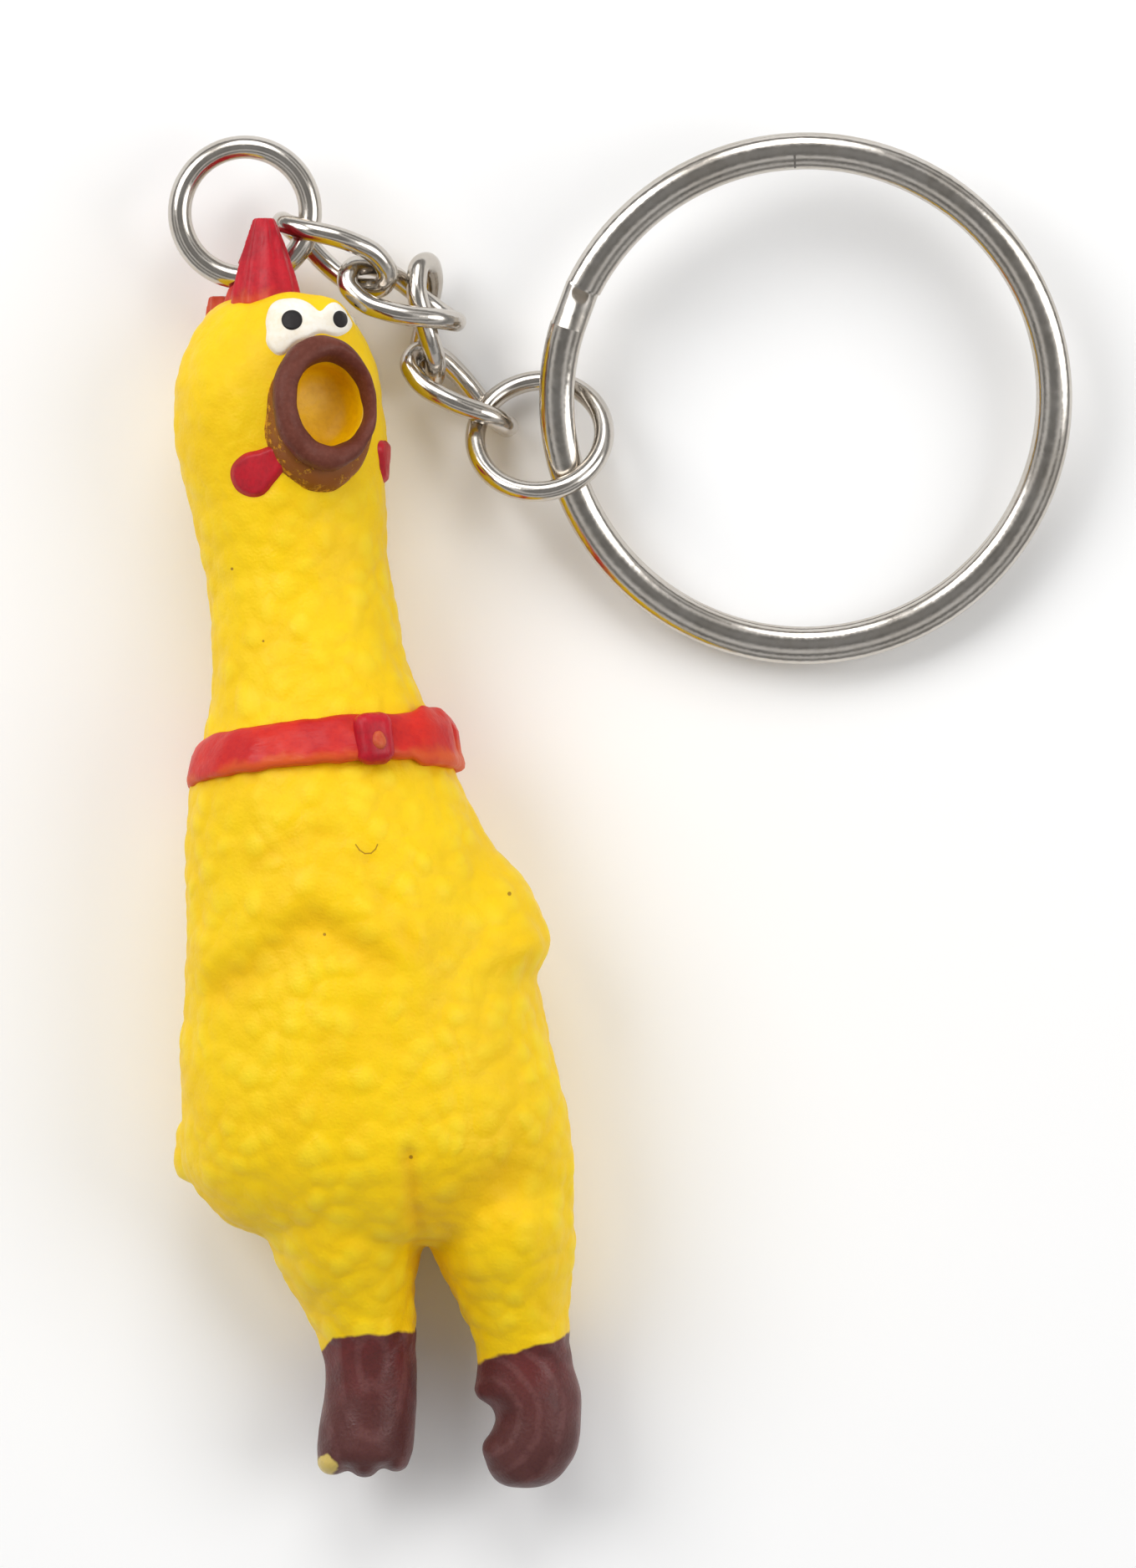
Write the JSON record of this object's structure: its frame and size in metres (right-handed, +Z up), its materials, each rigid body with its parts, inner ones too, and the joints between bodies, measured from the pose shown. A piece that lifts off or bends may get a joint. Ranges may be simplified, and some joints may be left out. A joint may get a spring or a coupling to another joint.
{
  "type": "rubber chicken key chain",
  "caption": "Soft hollow rubber chicken with a wide-open beak, hung by a ring through its comb from a short twisted-link chain, a jump ring and a split key ring.",
  "frame": {"origin": "middle of the footprint, on the surface that the key chain lies on", "axes": "+Y from the feet towards the comb, along the chicken; +X towards the chicken's left side, where the key ring lies; +Z up, away from the surface"},
  "size_m": [0.0508, 0.0761, 0.0146],
  "materials": {
    "yellow_vinyl": "satin",
    "mouth_yellow": "satin",
    "comb_red": "satin",
    "collar_red": "satin",
    "eye_white": "gloss",
    "pupil_black": "gloss",
    "beak_brown": "satin",
    "foot_maroon": "satin",
    "squeaker_plastic": "matte",
    "nickel_plate": "polished"
  },
  "bodies": {
    "torso": {"torso_shell": "yellow_vinyl", "wing_left": "yellow_vinyl", "wing_right": "yellow_vinyl", "tail": "yellow_vinyl", "collar": "collar_red", "collar_buckle": "collar_red"},
    "head": {"head_shell": "yellow_vinyl", "comb": "comb_red", "eye_whites": "eye_white", "pupil_left": "pupil_black", "pupil_right": "pupil_black", "beak_rim": "beak_brown", "beak_base": "beak_brown", "mouth_lining": "mouth_yellow", "wattle_left": "comb_red", "wattle_right": "comb_red", "squeaker_barrel": "squeaker_plastic", "squeaker_block": "squeaker_plastic", "squeaker_reed": "squeaker_plastic"},
    "leg_left": {"leg_left": "yellow_vinyl", "foot_left": "foot_maroon"},
    "leg_right": {"leg_right": "yellow_vinyl", "foot_right": "foot_maroon"},
    "comb_ring": {"comb_ring": "nickel_plate"},
    "link_1": {"chain_link_1": "nickel_plate"},
    "link_2": {"chain_link_2": "nickel_plate"},
    "link_3": {"chain_link_3": "nickel_plate"},
    "link_4": {"chain_link_4": "nickel_plate"},
    "jump_ring": {"jump_ring": "nickel_plate"},
    "split_ring": {"split_ring": "nickel_plate"}
  },
  "joints": [
    {"name": "neck_flex", "type": "hinge", "parent": "torso", "child": "head", "pos_m": [-0.017, 0.007, 0.0068], "axis": [1, 0, 0], "range_deg": [-15, 15], "stiffness_Nm_per_rad": 0.03},
    {"name": "hip_left_flex", "type": "hinge", "parent": "torso", "child": "leg_left", "pos_m": [-0.0064, -0.0272, 0.0052], "axis": [1, 0, 0], "range_deg": [-20, 20], "stiffness_Nm_per_rad": 0.02},
    {"name": "hip_right_flex", "type": "hinge", "parent": "torso", "child": "leg_right", "pos_m": [-0.0152, -0.0272, 0.0052], "axis": [1, 0, 0], "range_deg": [-20, 20], "stiffness_Nm_per_rad": 0.02},
    {"name": "comb_ring_swing", "type": "hinge", "parent": "head", "child": "comb_ring", "pos_m": [-0.01994, 0.03007, 0.0049], "axis": [0.9477, 0.3192, 0], "range_deg": [-15, 15]},
    {"name": "link_1_swing", "type": "hinge", "parent": "comb_ring", "child": "link_1", "pos_m": [-0.01756, 0.03258, 0.0049], "axis": [0.2589, 0.9659, 0], "range_deg": [-20, 30]},
    {"name": "link_2_swing", "type": "hinge", "parent": "link_1", "child": "link_2", "pos_m": [-0.0146, 0.02938, 0.00403], "axis": [0.8763, -0.239, 0.4182], "range_deg": [-20, 15]},
    {"name": "link_3_swing", "type": "hinge", "parent": "link_2", "child": "link_3", "pos_m": [-0.01053, 0.02759, 0.00544], "axis": [0.8994, -0.0799, -0.4297], "range_deg": [0, 25]},
    {"name": "link_4_swing", "type": "hinge", "parent": "link_3", "child": "link_4", "pos_m": [-0.0113, 0.0252, 0.00093], "axis": [-0.1501, 0.9207, -0.3603], "range_deg": [-15, 0]},
    {"name": "jump_ring_swing", "type": "hinge", "parent": "link_4", "child": "jump_ring", "pos_m": [-0.00738, 0.02245, 0.00079], "axis": [-0.6466, 0.7062, -0.2885], "range_deg": [-30, 0]},
    {"name": "split_ring_swing", "type": "hinge", "parent": "jump_ring", "child": "split_ring", "pos_m": [-0.00211, 0.01879, 0.00481], "axis": [0.7382, 0.6185, -0.2693], "range_deg": [0, 80]}
  ]
}
